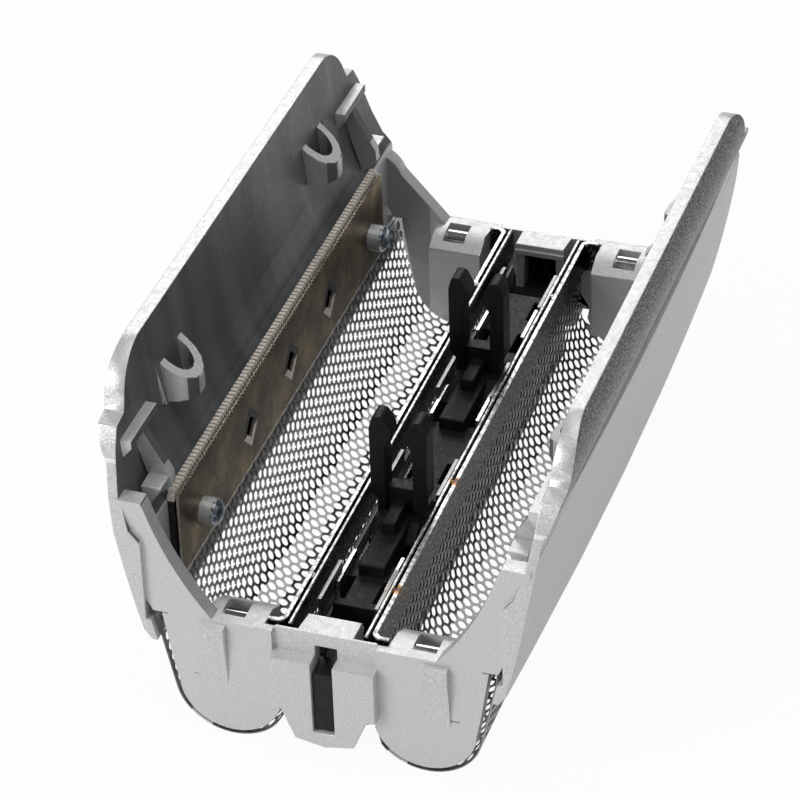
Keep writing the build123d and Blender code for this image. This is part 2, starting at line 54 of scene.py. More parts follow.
mm = 0.001
rim = 7.85 * mm
azimuth, elevation, roll = math.radians(19.738), math.radians(35.45), math.radians(-2.075)
back = Vector((math.sin(azimuth) * math.cos(elevation), -math.cos(azimuth) * math.cos(elevation), math.sin(elevation)))
across = Vector((math.cos(azimuth), math.sin(azimuth), 0))
upward = back.cross(across)
right = across * math.cos(roll) + upward * math.sin(roll)
top = upward * math.cos(roll) - across * math.sin(roll)
camera_data = bpy.data.cameras.new("viewpoint")
camera_data.lens = 176.7
camera_data.sensor_width = 36
camera_data.clip_start = 0.01
camera_data.clip_end = 10
camera = placed("viewpoint", camera_data)
place = Vector((-2.794 * mm, 0.386 * mm, 0.727 * mm + rim)) + back * (227.82 * mm)
camera.matrix_world = Matrix.Translation(place) @ Matrix((right, top, back)).transposed().to_4x4()
bpy.context.scene.camera = camera
bpy.context.scene.view_settings.view_transform = "Standard"


# Frame: one plastic moulding with high side walls, lobed ends, pegs, pin pockets and snap bosses. It is sprayed with
# silver paint that carries metal flake; inside the high walls it is less metallic and painted dark and streaked as
# shade, the end walls' inner corners less so. The outer band above the ledge is painted dark as shade, and what faces
# up on the ledge and the snap bosses gets a painted highlight. Edges are a little round, and a plate behind each lobe
# closes the end of the foil's trough.
def new_material(name):
    material = bpy.data.materials.new(name)
    material.use_nodes = True
    tree = material.node_tree
    return material, tree, tree.nodes["Principled BSDF"]


def link(tree, source, target):
    tree.links.new(source, target)


def add(tree, kind, **settings):
    node = tree.nodes.new(kind)
    for key, value in settings.items():
        setattr(node, key, value)
    return node


def object_place(tree, stretch=None):
    place = add(tree, "ShaderNodeTexCoord").outputs["Object"]
    if stretch is None:
        return place
    mapping = add(tree, "ShaderNodeMapping")
    mapping.inputs["Scale"].default_value = stretch
    link(tree, place, mapping.inputs["Vector"])
    return mapping.outputs[0]


def speckle(tree, scale, detail=2.0, roughness=0.6, stretch=None):
    noise = add(tree, "ShaderNodeTexNoise")
    noise.inputs["Scale"].default_value = scale
    noise.inputs["Detail"].default_value = detail
    noise.inputs["Roughness"].default_value = roughness
    link(tree, object_place(tree, stretch), noise.inputs["Vector"])
    return noise.outputs["Fac"]


def shades(tree, factor, stops):
    ramp = add(tree, "ShaderNodeValToRGB")
    ramp.color_ramp.elements[0].position = stops[0][0]
    ramp.color_ramp.elements[0].color = stops[0][1]
    ramp.color_ramp.elements[1].position = stops[-1][0]
    ramp.color_ramp.elements[1].color = stops[-1][1]
    for position, colour in stops[1:-1]:
        ramp.color_ramp.elements.new(position).color = colour
    link(tree, factor, ramp.inputs["Fac"])
    return ramp.outputs["Color"]


def bump(tree, shader, height, strength, distance):
    relief = add(tree, "ShaderNodeBump")
    relief.inputs["Strength"].default_value = strength
    relief.inputs["Distance"].default_value = distance
    link(tree, height, relief.inputs["Height"])
    link(tree, relief.outputs["Normal"], shader.inputs["Normal"])


def arithmetic(tree, operation, first, second=None, third=None):
    node = add(tree, "ShaderNodeMath", operation=operation)
    for socket, value in zip(node.inputs, (first, second, third)):
        if value is None:
            continue
        if isinstance(value, (int, float)):
            socket.default_value = value
        else:
            link(tree, value, socket)
    return node.outputs[0]


def blended(tree, share, first, second):
    mix = add(tree, "ShaderNodeMix", data_type="RGBA")
    link(tree, share, mix.inputs["Factor"])
    link(tree, first, mix.inputs[6])
    link(tree, second, mix.inputs[7])
    return mix.outputs[2]


def grey(value, warm=0.0):
    return (value * (1 + warm), value, value * (1 - warm), 1)


def grey_shades(tree, factor, warm, *stops):
    return shades(tree, factor, [(position, grey(value, warm)) for position, value in stops])


def uneven_roughness(tree, shader, scale, low, high):
    """Roughness that wanders between two values."""
    link(tree, grey_shades(tree, speckle(tree, scale), 0, (0.3, low), (0.7, high)), shader.inputs["Roughness"])


def axes_of(tree, vector):
    split = add(tree, "ShaderNodeSeparateXYZ")
    link(tree, vector, split.inputs[0])
    return split.outputs


def facing_axes(tree):
    return axes_of(tree, add(tree, "ShaderNodeNewGeometry").outputs["True Normal"])


def wall_zones(tree):
    """Zones of the paint: inner faces of the high walls, painted as shade, with the end walls' corners at less
    strength;
    the outer band above the ledge, painted dark as shade; what faces up on the ledge and the snap bosses, painted as
    highlight; and how far up the band a place lies."""
    inner_face_x, inner_face_foot = 10.05 * mm, 12.5 * mm
    corner_x = 7.4 * mm
    boss_y, boss_reach, boss_top_from, boss_top_to = 11.5 * mm, 1.7 * mm, rim + 8.6 * mm, rim + 11.2 * mm
    ledge, band_height = rim + 9.0 * mm, 4.8 * mm

    def math_node(*parts):
        return arithmetic(tree, *parts)

    spot = axes_of(tree, object_place(tree))
    facing = facing_axes(tree)
    outward = math_node("MULTIPLY", facing["X"], math_node("SIGN", spot["X"]))
    far_out = math_node("GREATER_THAN", math_node("ABSOLUTE", spot["X"]), inner_face_x)
    inner = math_node("MULTIPLY", math_node("LESS_THAN", outward, -0.75), far_out)
    inner = math_node("MULTIPLY", inner, math_node("GREATER_THAN", spot["Z"], inner_face_foot))
    endward = math_node("MULTIPLY", facing["Y"], math_node("SIGN", spot["Y"]))
    beside = math_node("GREATER_THAN", math_node("ABSOLUTE", spot["X"]), corner_x)
    corner = math_node("MULTIPLY", math_node("LESS_THAN", endward, -0.75), beside)
    inner = math_node("MAXIMUM", inner, math_node("MULTIPLY", corner, 0.45))
    above = math_node("GREATER_THAN", spot["Z"], ledge + 0.03 * mm)
    band = math_node("MULTIPLY", math_node("GREATER_THAN", outward, 0.5), above)
    off_ledge = math_node("SUBTRACT", spot["Z"], ledge)
    near = math_node("LESS_THAN", math_node("ABSOLUTE", off_ledge), 0.12 * mm)
    step = math_node("MULTIPLY", math_node("GREATER_THAN", facing["Z"], 0.3), near)
    from_boss = math_node("ABSOLUTE", math_node("SUBTRACT", math_node("ABSOLUTE", spot["Y"]), boss_y))
    boss = math_node("LESS_THAN", from_boss, boss_reach)
    boss = math_node("MULTIPLY", boss, math_node("LESS_THAN", spot["Z"], boss_top_to))
    high = math_node("GREATER_THAN", spot["Z"], boss_top_from)
    high = math_node("MULTIPLY", high, math_node("GREATER_THAN", facing["Z"], 0.4))
    step = math_node("MAXIMUM", step, math_node("MULTIPLY", boss, high))
    rise = math_node("DIVIDE", off_ledge, band_height)
    return inner, band, step, rise


def flake_tilt(tree, scale, amount, lift):
    """Every flake of metal in the paint lies a little differently and catches the light by itself."""
    flakes = add(tree, "ShaderNodeTexVoronoi")
    flakes.inputs["Scale"].default_value = scale
    link(tree, object_place(tree), flakes.inputs["Vector"])
    centred = add(tree, "ShaderNodeVectorMath", operation="SUBTRACT")
    link(tree, flakes.outputs["Color"], centred.inputs[0])
    centred.inputs[1].default_value = (0.5, 0.5, 0.5)
    spread = add(tree, "ShaderNodeVectorMath", operation="SCALE")
    link(tree, centred.outputs[0], spread.inputs[0])
    link(tree, amount, spread.inputs["Scale"])
    upward_part = add(tree, "ShaderNodeCombineXYZ")
    link(tree, lift, upward_part.inputs["Z"])
    tilted = add(tree, "ShaderNodeVectorMath", operation="ADD")
    link(tree, add(tree, "ShaderNodeNewGeometry").outputs["Normal"], tilted.inputs[0])
    link(tree, spread.outputs[0], tilted.inputs[1])
    rolled = add(tree, "ShaderNodeVectorMath", operation="ADD")
    link(tree, tilted.outputs[0], rolled.inputs[0])
    link(tree, upward_part.outputs[0], rolled.inputs[1])
    straight = add(tree, "ShaderNodeVectorMath", operation="NORMALIZE")
    link(tree, rolled.outputs[0], straight.inputs[0])
    return straight.outputs[0]


def silver_paint():
    material, tree, shader = new_material("silver_paint")
    inner, band, step, rise = wall_zones(tree)
    coat = grey_shades(tree, speckle(tree, 11000), -0.012, (0.32, 0.54), (0.5, 0.63), (0.7, 0.74))
    # Painted shade: the outer band above the ledge is dark, smooth low down and coarse-flaked higher up; the flake
    # sparkle is the paint's own.
    coarse = shades(tree, speckle(tree, 9000, 3.0, 0.7), [
        (0.38, grey(0.12, -0.03)), (0.50, grey(0.24, -0.03)), (0.58, grey(0.46, -0.02)), (0.68, grey(0.95, -0.01))])
    smooth_coat = grey_shades(tree, speckle(tree, 11000), -0.03, (0.3, 0.26), (0.7, 0.38))
    graded = grey_shades(tree, rise, 0, (0.05, 0.0), (0.45, 0.7), (0.97, 1.0))
    outer = blended(tree, graded, smooth_coat, coarse)
    # Painted shade: the inner faces of the high walls, and the end walls' inner corners at less strength, take this
    # dark streaked coat.
    streaks = speckle(tree, 1.0, 3.0, 0.5, stretch=(60, 420, 45))
    painted_shade_coat = grey_shades(tree, streaks, -0.05, (0.35, 0.085), (0.52, 0.125), (0.68, 0.165))
    # Painted highlight: what faces up on the ledge and the snap bosses is made near white.
    painted_highlight_coat = grey_shades(tree, speckle(tree, 8000), 0, (0.35, 0.8), (0.65, 0.98))
    colour = blended(tree, band, coat, outer)
    colour = blended(tree, step, colour, painted_highlight_coat)
    link(tree, blended(tree, inner, colour, painted_shade_coat), shader.inputs["Base Color"])
    link(tree, arithmetic(tree, "MULTIPLY_ADD", inner, -0.32, 0.42), shader.inputs["Metallic"])
    uneven_roughness(tree, shader, 2500, 0.34, 0.46)
    amount = arithmetic(tree, "MULTIPLY_ADD", band, 0.35, 0.12)
    lift = arithmetic(tree, "MULTIPLY", band, arithmetic(tree, "MULTIPLY_ADD", rise, 0.75, 0.10))
    link(tree, flake_tilt(tree, 15000, amount, lift), shader.inputs["Normal"])
    return material


def whole_mesh(name):
    """The CAD piece as one joined mesh with its flat faces whole."""
    shape = bmesh.new()
    shape.from_mesh(nodes[name].data)
    bmesh.ops.remove_doubles(shape, verts=shape.verts, dist=2e-6)
    bmesh.ops.dissolve_limit(shape, angle_limit=math.radians(0.6), verts=shape.verts, edges=shape.edges)
    return shape


def new_piece(name, shape):
    mesh = bpy.data.meshes.new(name)
    shape.to_mesh(mesh)
    shape.free()
    return placed(name, mesh)


def applied(piece):
    """The piece with its modifiers made real."""
    depsgraph = bpy.context.evaluated_depsgraph_get()
    finished = bpy.data.meshes.new_from_object(piece.evaluated_get(depsgraph))
    piece.modifiers.clear()
    piece.data = finished
    return piece


def edges_to_round(shape, width, choice):
    """Numbers of the sharp edges, without those that end beside a very short edge."""
    shortest, gentle, steep = 2.2 * width, math.radians(34), math.radians(150)
    tight = set()
    for vert in shape.verts:
        if any(edge.calc_length() < shortest for edge in vert.link_edges):
            tight.add(vert)
    chosen = set()
    for edge in shape.edges:
        if len(edge.link_faces) != 2 or edge.verts[0] in tight or edge.verts[1] in tight:
            continue
        if gentle < edge.calc_face_angle(0) < steep and (choice is None or choice(edge)):
            chosen.add(edge.index)
    return chosen


def spoiled_spots(shape, surface, width):
    """Places where a rounded shape has left the surface it came from, or has folded over."""
    farthest, least_agreement, sliver = 0.7 * width, 0.05, 2e-10
    spots = []
    for corners in shape.calc_loop_triangles():
        a, b, c = [corner.vert.co for corner in corners]
        normal = (b - a).cross(c - a)
        if normal.length < sliver:
            continue
        centre = (a + b + c) / 3
        _, facing, _, distance = surface.find_nearest(centre)
        if distance > farthest or normal.normalized().dot(facing) < least_agreement:
            spots.append(centre)
    return spots


def round_off(shape, width, segments=2, choice=None):
    """Round the sharp edges of a shape; an edge whose rounding would spoil the faces beside it is left as it is."""
    shape.edges.index_update()
    shape.edges.ensure_lookup_table()
    surface = BVHTree.FromBMesh(shape)
    chosen = edges_to_round(shape, width, choice)
    known = len(spoiled_spots(shape, surface, width))
    last_attempt, spoiling_reach = 5, 2.5 * width
    for attempt in range(last_attempt + 1):
        trial = shape.copy()
        trial.edges.ensure_lookup_table()
        bmesh.ops.bevel(trial, geom=[trial.edges[number] for number in chosen], offset=width, offset_type="OFFSET",
                        segments=segments, profile=0.5, affect="EDGES", clamp_overlap=False)
        spots = spoiled_spots(trial, surface, width)
        if len(spots) <= known or attempt == last_attempt:
            break
        for number in list(chosen):
            first, last = (vert.co for vert in shape.edges[number].verts)
            run = last - first
            for spot in spots:
                share = max(0.0, min(1.0, (spot - first).dot(run) / run.length_squared))
                if (first + run * share - spot).length < spoiling_reach:
                    chosen.discard(number)
                    break
        trial.free()
    flat = bpy.data.meshes.new("rounded")
    trial.to_mesh(flat)
    trial.free()
    shape.clear()
    shape.from_mesh(flat)


def softened(name, shape, width, segments=2):
    round_off(shape, width, segments)
    for face in shape.faces:
        face.smooth = True
    for edge in shape.edges:
        edge.smooth = len(edge.link_faces) == 2 and edge.calc_face_angle(3.2) < math.radians(36)
    piece = new_piece("soft_" + name, shape)
    shading = piece.modifiers.new("even shading", "WEIGHTED_NORMAL")
    shading.mode = "FACE_AREA"
    shading.weight = 50
    shading.keep_sharp = True
    return applied(piece)


def softened_copy(name, width, segments=2):
    return softened(name, whole_mesh(name), width, segments)


def dress(piece, material, body, node=None):
    piece.data.materials.clear()
    piece.data.materials.append(material)
    if node:
        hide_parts(node)
    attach(piece, body)


def skinned(rings):
    """Solid whose skin runs through rings of equally many points, closed at both ends."""
    shape = bmesh.new()
    rings = [[shape.verts.new(point) for point in ring] for ring in rings]
    for first, second in zip(rings, rings[1:]):
        for k in range(len(first)):
            follow = (k + 1) % len(first)
            shape.faces.new((first[k], first[follow], second[follow], second[k]))
    shape.faces.new(rings[0])
    shape.faces.new(rings[-1])
    bmesh.ops.recalc_face_normals(shape, faces=shape.faces)
    return shape


def round_turns(count):
    return [math.radians(360 * k / count) for k in range(count)]


def rolled_edge(edge):
    """True for the outer edge along the top and the shoulders of a high wall."""
    lowest = min(vert.co.z for vert in edge.verts)
    innermost = min(abs(vert.co.x) for vert in edge.verts)
    if lowest < rim + 10.2 * mm or innermost < 11.9 * mm:
        return False
    outward = [abs(face.normal.x) for face in edge.link_faces]
    return max(outward) > 0.8 and min(outward) < 0.3


trough_x, trough_z = 5.6 * mm, 3.3 * mm


def trough_end(side, end):
    """Plate behind an end wall's lobe, following the foil's inside from the slope round to the rails."""
    plate_radius = 2.96 * mm
    outline = [(3.0, 3.9), (7.6, 3.9), (8.55, 7.7), (9.32, 7.7), (8.80, 4.4)]
    outline = [(x * mm, z * mm) for x, z in outline]
    for lean in range(-2, -165, -9):
        turn = math.radians(lean)
        outline.append((trough_x + plate_radius * math.cos(turn), trough_z + plate_radius * math.sin(turn)))
    return skinned([[(side * x, end * y, z) for x, z in outline] for y in (20.05 * mm, 20.995 * mm)])


silver = silver_paint()
for side, label in ((-1, "left"), (1, "right")):
    for end, end_name in ((-1, "front"), (1, "rear")):
        plate = new_piece("trough_end_%s_%s" % (end_name, label), trough_end(side, end))
        dress(plate, silver, "head")

moulding = whole_mesh("head_frame")
round_off(moulding, 0.42 * mm, 5, rolled_edge)
dress(softened("head_frame", moulding, 0.07 * mm), silver, "head", "head_frame")


# Moulding pips: a small round mark left by an ejector pin on each of the wedge plates, two at each end of the frame.
# Each is a low dome under the same silver paint.
def smooth_piece(name, shape):
    for face in shape.faces:
        face.smooth = True
    return new_piece(name, shape)


def moulding_pip(name, x, y, z):
    """A low dome, turned to lie on the plate."""
    pip_radius, swell, sunk = 0.25 * mm, 0.09 * mm, 0.03 * mm
    rings = []
    for share in (1.0, 0.8, 0.45):
        height = swell * (1 - share ** 2) - sunk
        rings.append([(pip_radius * share * math.cos(turn), pip_radius * share * math.sin(turn), height)
                      for turn in round_turns(12)])
    shape = skinned(rings)
    end = 1 if y > 0 else -1
    turned = Matrix.Rotation(-end * math.radians(90), 4, "X")
    bmesh.ops.transform(shape, matrix=Matrix.Translation((x, y, z)) @ turned, verts=shape.verts)
    return smooth_piece(name, shape)


for end, y in (("front", -21.4 * mm), ("rear", 21.4 * mm)):
    for side, x in (("left", -6.65 * mm), ("right", 6.3 * mm)):
        dress(moulding_pip("pip_%s_%s" % (end, side), x, y, rim - 1.0 * mm), silver, "head")


# Peg heads: each moulded peg that holds the strips has its end melted over into a low glossy dome, bluish where the
# paint has flowed. The dome stands on the peg's end face.
def peg_paint():
    material, tree, shader = new_material("peg_heads")
    tone = shades(tree, speckle(tree, 2600, 3.0),
                  [(0.36, (0.10, 0.13, 0.17, 1)), (0.5, (0.36, 0.42, 0.50, 1)), (0.64, (0.70, 0.76, 0.84, 1))])
    link(tree, tone, shader.inputs["Base Color"])
    shader.inputs["Metallic"].default_value = 0.85
    uneven_roughness(tree, shader, 5000, 0.16, 0.34)
    return material


def peg_head(name, side, y):
    """A dome turned about the peg's own line, which runs along X."""
    radius, height, sunk, seat = 0.82 * mm, 0.34 * mm, 0.12 * mm, 8.66 * mm
    rings = []
    for lean in (0, 8, 30, 52, 74):
        reach = radius * math.cos(math.radians(lean))
        x = side * (seat + sunk - (height + sunk) * math.sin(math.radians(lean)))
        rings.append([(x, y + reach * math.cos(turn), rim + 1.7 * mm + reach * math.sin(turn))
                      for turn in round_turns(24)])
    return smooth_piece(name, skinned(rings))


peg_finish = peg_paint()
for label, side in (("left", -1), ("right", 1)):
    for end, y in (("front", -13.9 * mm), ("rear", 14.9 * mm)):
        dress(peg_head("peg_head_%s_%s" % (end, label), side, y), peg_finish, "head")


# Foils: nickel sheet, grown with its holes and bent into a trough. The webs are painted dark as reflection, but for a
# painted highlight line low in each trough, and the legs beside the rails get painted shade with painted glints.
# Every hole is made: cells laid flat are wrapped along the foil's section, then given their thickness.
def section_curve(points, name):
    data = bpy.data.curves.new(name, "CURVE")
    data.dimensions = "3D"
    spline = data.splines.new("POLY")
    spline.points.add(len(points) - 1)
    for point, (x, z) in zip(spline.points, points):
        point.co = (x, 0, z, 1)
    return placed(name, data)


def foil_section():
    """Line of the right foil, on which its thickness is set outwards: inner leg, arc, slope, clamped edge."""
    radius, outer_x, arc_steps = 3.22 * mm, 9.72 * mm, 96
    low_edge = rim - 0.5 * mm
    turn = math.atan2(low_edge - trough_z, outer_x - trough_x)
    turn -= math.acos(radius / math.hypot(low_edge - trough_z, outer_x - trough_x))
    points = [(trough_x - radius, rim - 0.15 * mm)]
    for step in range(arc_steps + 1):
        lean = -math.pi + (turn + math.pi) * step / arc_steps
        points.append((trough_x + radius * math.cos(lean), trough_z + radius * math.sin(lean)))
    points += [(outer_x, low_edge), (outer_x, low_edge + 0.25 * mm)]
    return points


def cell_mesh(pitch, hole, sides):
    """One cell of the sheet: a hexagon with a round-cornered hole, or plain."""
    shape = bmesh.new()
    corner = pitch / math.sqrt(3)
    edge = []
    for k in range(6):
        turn = math.radians(60 * k + 30)
        edge.append(shape.verts.new((corner * math.cos(turn), corner * math.sin(turn), 0)))
    if hole:
        ring = []
        for k in range(sides):
            turn = math.radians(360 * k / sides + 30)
            radius = hole / 2 * (1.07 if k % 2 == 0 else 1.0)
            ring.append(shape.verts.new((radius * math.cos(turn), radius * math.sin(turn), 0)))
        share = sides // 6
        for k in range(6):
            first, second = edge[k], edge[(k + 1) % 6]
            inner = [ring[(k * share + j) % sides] for j in range(share + 1)]
            middle = share // 2
            for j in range(share):
                near = first if j < middle else second
                shape.faces.new((near, inner[j + 1], inner[j]))
            shape.faces.new((first, second, inner[middle]))
    else:
        shape.faces.new(edge)
    bmesh.ops.recalc_face_normals(shape, faces=shape.faces)
    for face in shape.faces:
        if face.normal.z < 0:
            face.normal_flip()
    return new_piece("cell", shape)


class TreeMaker:
    """Short names for the nodes of a Geometry Nodes tree."""

    def __init__(self, name, sizes):
        self.tree = bpy.data.node_groups.new(name, "GeometryNodeTree")
        face = self.tree.interface
        face.new_socket("Geometry", in_out="INPUT", socket_type="NodeSocketGeometry")
        for label, kind in sizes:
            face.new_socket(label, in_out="INPUT", socket_type=kind)
        face.new_socket("Geometry", in_out="OUTPUT", socket_type="NodeSocketGeometry")
        self.given = self.tree.nodes.new("NodeGroupInput")
        self.result = self.tree.nodes.new("NodeGroupOutput")

    def node(self, kind, **settings):
        made = self.tree.nodes.new(kind)
        for key, value in settings.items():
            setattr(made, key, value)
        return made

    def join(self, source, target):
        self.tree.links.new(source, target)

    def feed(self, socket, value):
        if isinstance(value, (int, float, bool)):
            socket.default_value = value
        else:
            self.join(value, socket)

    def sum(self, operation, first, second=0.0):
        made = self.node("ShaderNodeMath", operation=operation)
        self.feed(made.inputs[0], first)
        self.feed(made.inputs[1], second)
        return made.outputs[0]

    def vector(self, x, y, z):
        made = self.node("ShaderNodeCombineXYZ")
        for socket, value in zip(made.inputs, (x, y, z)):
            self.feed(socket, value)
        return made.outputs[0]

    def copies(self, points, shape, choice=None):
        """Real copies of one shape on every point, or on the chosen ones."""
        given = self.node("GeometryNodeObjectInfo")
        self.join(shape, given.inputs["Object"])
        spread = self.node("GeometryNodeInstanceOnPoints")
        self.join(points, spread.inputs["Points"])
        if choice is not None:
            self.join(choice, spread.inputs["Selection"])
        self.join(given.outputs["Geometry"], spread.inputs["Instance"])
        real = self.node("GeometryNodeRealizeInstances")
        self.join(spread.outputs["Instances"], real.inputs["Geometry"])
        return real.outputs["Geometry"]

    def finish_with(self, geometry):
        finish = self.node("GeometryNodeSetMaterial")
        self.join(geometry, finish.inputs["Geometry"])
        self.join(self.given.outputs["Material"], finish.inputs["Material"])
        self.join(finish.outputs["Geometry"], self.result.inputs["Geometry"])

    def apply(self, holder, values):
        """Run the tree on an object and keep the plain mesh that comes out."""
        modifier = holder.modifiers.new("made by rule", "NODES")
        modifier.node_group = self.tree
        for item in self.tree.interface.items_tree:
            if item.in_out == "INPUT" and item.name in values:
                modifier[item.identifier] = values[item.name]
        depsgraph = bpy.context.evaluated_depsgraph_get()
        mesh = bpy.data.meshes.new_from_object(holder.evaluated_get(depsgraph))
        holder.modifiers.remove(modifier)
        return mesh


def perforated_sheet_tree():
    make = TreeMaker("perforated sheet along a section", [
        ("Pitch", "NodeSocketFloat"), ("Length", "NodeSocketFloat"), ("Section", "NodeSocketFloat"),
        ("Rows", "NodeSocketInt"), ("Columns", "NodeSocketInt"), ("Plain top", "NodeSocketFloat"),
        ("Plain ends", "NodeSocketFloat"), ("Free from", "NodeSocketFloat"), ("Free run", "NodeSocketFloat"),
        ("Free length", "NodeSocketFloat"),
        ("Open cell", "NodeSocketObject"), ("Plain cell", "NodeSocketObject"), ("Material", "NodeSocketMaterial")])
    given = make.given.outputs
    grid = make.node("GeometryNodeMeshGrid")
    make.join(given["Rows"], grid.inputs["Vertices X"])
    make.join(given["Columns"], grid.inputs["Vertices Y"])
    index = make.node("GeometryNodeInputIndex").outputs[0]
    row = make.sum("FLOOR", make.sum("DIVIDE", index, given["Columns"]))
    column = make.sum("SUBTRACT", index, make.sum("MULTIPLY", row, given["Columns"]))
    odd = make.sum("MODULO", column, 2.0)
    half_columns = make.sum("DIVIDE", make.sum("SUBTRACT", given["Columns"], 1.0), 2.0)
    column_gap = make.sum("MULTIPLY", given["Pitch"], math.sqrt(3) / 2)
    along = make.sum("MULTIPLY", make.sum("SUBTRACT", column, half_columns), column_gap)
    down = make.sum("MULTIPLY", make.sum("ADD", row, make.sum("MULTIPLY", odd, 0.5)), given["Pitch"])
    flat = make.node("GeometryNodeSetPosition")
    make.join(grid.outputs["Mesh"], flat.inputs["Geometry"])
    make.join(make.vector(down, along, 0.0), flat.inputs["Position"])
    past_first = make.sum("GREATER_THAN", down, given["Plain top"])
    last = make.sum("SUBTRACT", given["Section"], make.sum("MULTIPLY", given["Pitch"], 0.55))
    open_here = make.sum("MULTIPLY", past_first, make.sum("LESS_THAN", down, last))

    def half_length(where):
        """Half the sheet's length, longer from the arc on, where it passes outside the end walls' lobes."""
        share = make.sum("DIVIDE", make.sum("SUBTRACT", where, given["Free from"]), given["Free run"])
        share = make.sum("MINIMUM", make.sum("MAXIMUM", share, 0.0), 1.0)
        extra = make.sum("MULTIPLY", share, given["Free length"])
        return make.sum("ADD", make.sum("DIVIDE", given["Length"], 2.0), extra)

    half_here = half_length(down)
    inside = make.sum("LESS_THAN", make.sum("ABSOLUTE", along), make.sum("SUBTRACT", half_here, given["Plain ends"]))
    open_here = make.sum("MULTIPLY", open_here, inside)
    joined = make.node("GeometryNodeJoinGeometry")
    for name, choice in (("Open cell", open_here), ("Plain cell", make.sum("SUBTRACT", 1.0, open_here))):
        make.join(make.copies(flat.outputs["Geometry"], given[name], choice), joined.inputs["Geometry"])
    merged = make.node("GeometryNodeMergeByDistance")
    make.join(joined.outputs["Geometry"], merged.inputs["Geometry"])
    merged.inputs["Distance"].default_value = 0.02 * mm
    spot = make.node("GeometryNodeInputPosition")
    split = make.node("ShaderNodeSeparateXYZ")
    make.join(spot.outputs[0], split.inputs[0])
    distance = make.sum("MINIMUM", make.sum("MAXIMUM", split.outputs["X"], 0.0), given["Section"])
    half = half_length(split.outputs["X"])
    kept = make.sum("MINIMUM", make.sum("MAXIMUM", split.outputs["Y"], make.sum("MULTIPLY", half, -1.0)), half)
    sample = make.node("GeometryNodeSampleCurve", mode="LENGTH", use_all_curves=True)
    make.join(given["Geometry"], sample.inputs["Curves"])
    make.join(distance, sample.inputs["Length"])
    bent = make.node("ShaderNodeSeparateXYZ")
    make.join(sample.outputs["Position"], bent.inputs[0])
    wrapped = make.node("GeometryNodeSetPosition")
    make.join(merged.outputs["Geometry"], wrapped.inputs["Geometry"])
    make.join(make.vector(bent.outputs["X"], kept, bent.outputs["Z"]), wrapped.inputs["Position"])
    make.finish_with(wrapped.outputs["Geometry"])
    return make


def nickel():
    """Webs painted dark as reflection, legs beside the rails in painted shade with painted glints, and a painted
    highlight line along each trough, not metallic.
    """
    leg_to, line_half_width, wander = 2.75 * mm, 0.55 * mm, 0.5 * mm
    material, tree, shader = new_material("nickel_foil")
    # Painted reflection: the webs' dark grey stands for the dark surroundings they reflect.
    tone = grey_shades(tree, speckle(tree, 1200), 0.01, (0.3, 0.20), (0.7, 0.30))
    # Painted highlight: near white, in a line low in each trough where the metal would mirror a lamp.
    painted_highlight_tone = grey_shades(tree, speckle(tree, 5000), 0, (0.35, 0.90), (0.6, 0.99))
    # Painted shade with painted glints on the legs beside the rails.
    leg_shade_and_glints = shades(tree, speckle(tree, 4200, 3.0, 0.7), [
        (0.42, grey(0.03, 0.1)), (0.56, grey(0.12, 0.1)), (0.70, grey(0.5, 0.05))])
    spot = axes_of(tree, object_place(tree))
    leg = arithmetic(tree, "LESS_THAN", arithmetic(tree, "ABSOLUTE", spot["X"]), leg_to)
    line = arithmetic(tree, "MULTIPLY_ADD", speckle(tree, 350), wander, spot["X"])
    left_line = arithmetic(tree, "ABSOLUTE", arithmetic(tree, "ADD", line, 7.15 * mm))
    right_line = arithmetic(tree, "ABSOLUTE", arithmetic(tree, "SUBTRACT", line, 4.25 * mm))
    ribbon = arithmetic(tree, "LESS_THAN", arithmetic(tree, "MINIMUM", left_line, right_line), line_half_width)
    colour = blended(tree, leg, tone, leg_shade_and_glints)
    link(tree, blended(tree, ribbon, colour, painted_highlight_tone), shader.inputs["Base Color"])
    link(tree, arithmetic(tree, "SUBTRACT", 1.0, ribbon), shader.inputs["Metallic"])
    uneven_roughness(tree, shader, 3000, 0.14, 0.26)
    return material


def shade_by_angle(mesh, degrees):
    shape = bmesh.new()
    shape.from_mesh(mesh)
    for face in shape.faces:
        face.smooth = True
    for edge in shape.edges:
        edge.smooth = len(edge.link_faces) == 2 and edge.calc_face_angle(3.2) < math.radians(degrees)
    shape.to_mesh(mesh)
    shape.free()


